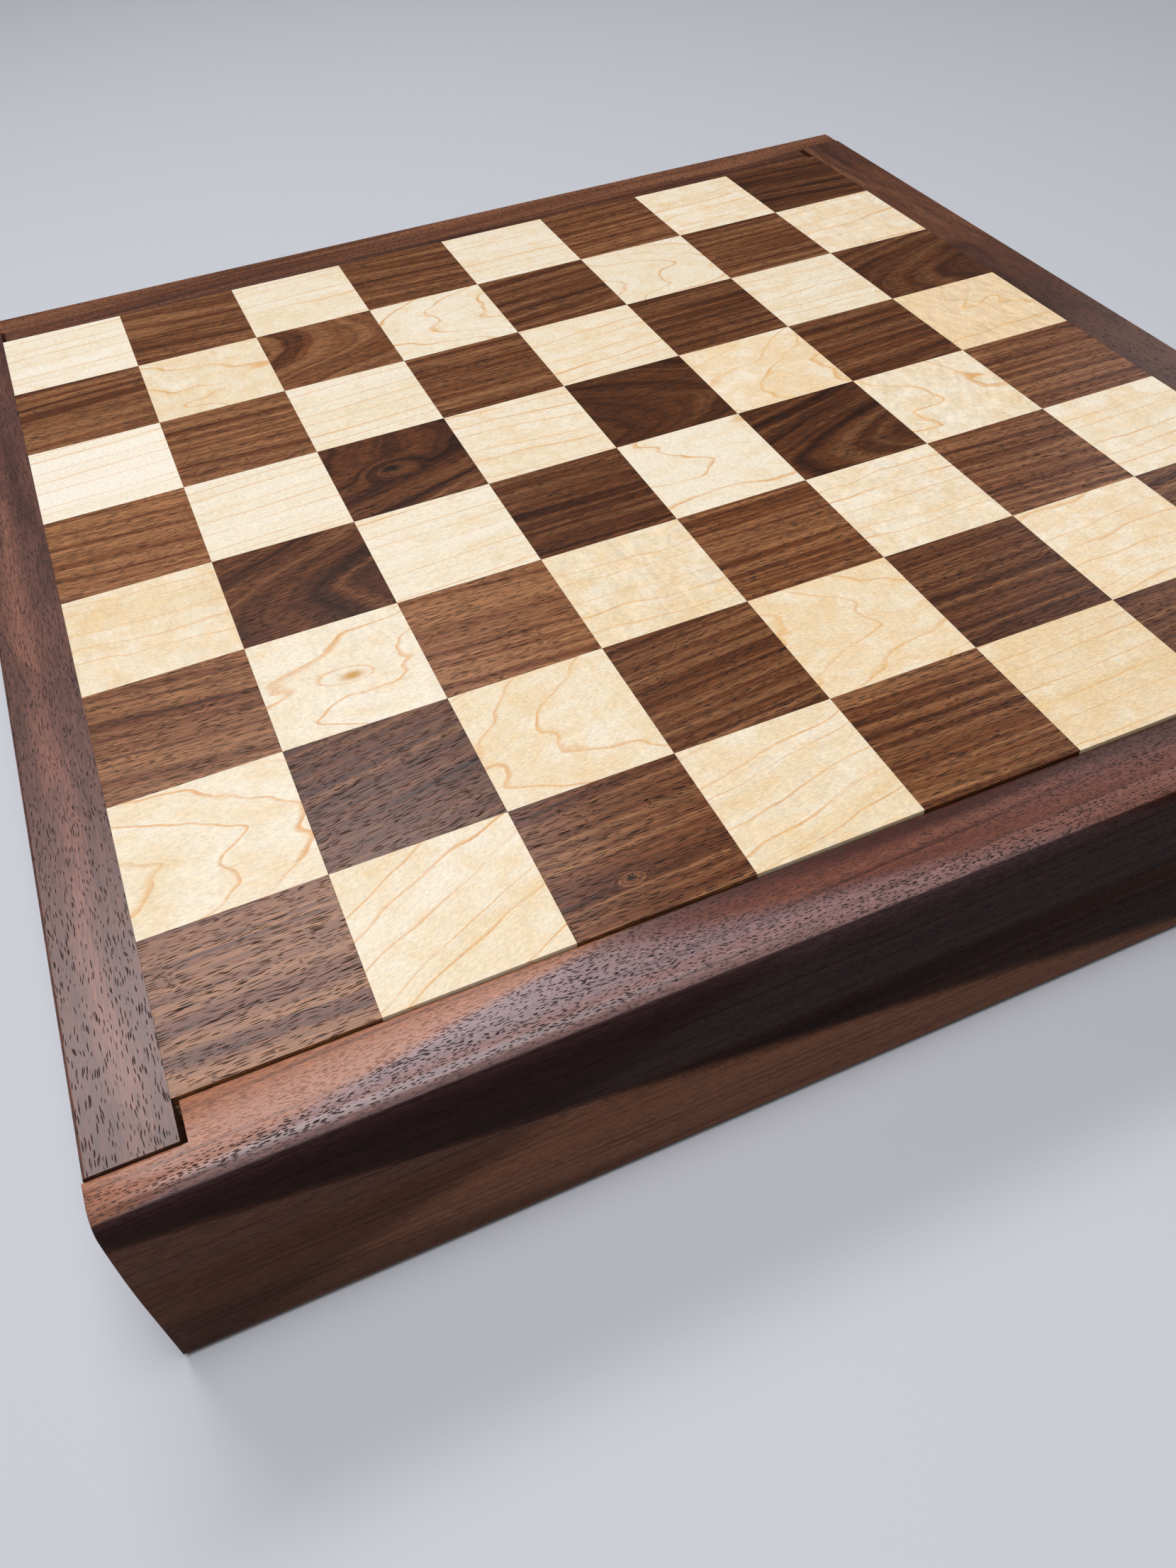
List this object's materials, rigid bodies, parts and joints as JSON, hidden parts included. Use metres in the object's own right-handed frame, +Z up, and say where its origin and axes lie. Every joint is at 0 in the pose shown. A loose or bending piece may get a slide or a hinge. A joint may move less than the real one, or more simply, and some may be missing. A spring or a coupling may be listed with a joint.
{
  "type": "chess box with drawers",
  "caption": "Walnut and maple chess board on a shallow case, with a full-width drawer for the chessmen at each end whose face forms the border of the board.",
  "frame": {"origin": "bottom centre of the closed box, on the surface that it stands on", "axes": "+Z up, -Y towards the player at the front drawer, +X along the front from left to right"},
  "size_m": [0.3944, 0.3996, 0.0635],
  "materials": {
    "walnut_rail": "oiled walnut, satin, open pores along the rail",
    "walnut_face": "oiled walnut, satin, grain along the face",
    "walnut_square": "oiled walnut, satin",
    "maple_square": "oiled hard maple, satin",
    "plywood": "birch plywood, sanded",
    "poplar_divider": "sanded poplar",
    "maple_runner": "waxed hard maple",
    "maple_box": "sanded hard maple, thin oil",
    "lining_felt": "dark green wool felt",
    "foot_felt": "dark brown wool felt",
    "zinc_screw": "zinc-plated steel",
    "nickel_magnet": "nickel-plated"
  },
  "bodies": {
    "case": {"left_rail": "walnut_rail", "right_rail": "walnut_rail", "board_core": "plywood", "file_a_walnut": "walnut_square", "file_a_maple": "maple_square", "file_b_walnut": "walnut_square", "file_b_maple": "maple_square", "file_c_walnut": "walnut_square", "file_c_maple": "maple_square", "file_d_walnut": "walnut_square", "file_d_maple": "maple_square", "file_e_walnut": "walnut_square", "file_e_maple": "maple_square", "file_f_walnut": "walnut_square", "file_f_maple": "maple_square", "file_g_walnut": "walnut_square", "file_g_maple": "maple_square", "file_h_walnut": "walnut_square", "file_h_maple": "maple_square", "base_panel": "plywood", "centre_divider": "poplar_divider", "front_left_runner": "maple_runner", "front_right_runner": "maple_runner", "back_left_runner": "maple_runner", "back_right_runner": "maple_runner", "divider_screws": "zinc_screw", "divider_magnets": "nickel_magnet", "front_left_foot": "foot_felt", "front_right_foot": "foot_felt", "back_left_foot": "foot_felt", "back_right_foot": "foot_felt"},
    "front_drawer": {"front_drawer_face": "walnut_face", "front_drawer_box_front": "maple_box", "front_drawer_box_back": "maple_box", "front_drawer_left_side": "maple_box", "front_drawer_right_side": "maple_box", "front_drawer_bottom": "plywood", "front_drawer_lining": "lining_felt", "front_drawer_face_screws": "zinc_screw", "front_drawer_magnets": "nickel_magnet"},
    "back_drawer": {"back_drawer_face": "walnut_face", "back_drawer_box_front": "maple_box", "back_drawer_box_back": "maple_box", "back_drawer_left_side": "maple_box", "back_drawer_right_side": "maple_box", "back_drawer_bottom": "plywood", "back_drawer_lining": "lining_felt", "back_drawer_face_screws": "zinc_screw", "back_drawer_magnets": "nickel_magnet"}
  },
  "joints": [
    {"name": "front_drawer_slide", "type": "slide", "parent": "case", "child": "front_drawer", "axis": [0, -1, 0], "range_m": [0, 0.13]},
    {"name": "back_drawer_slide", "type": "slide", "parent": "case", "child": "back_drawer", "axis": [0, 1, 0], "range_m": [0, 0.13]}
  ]
}
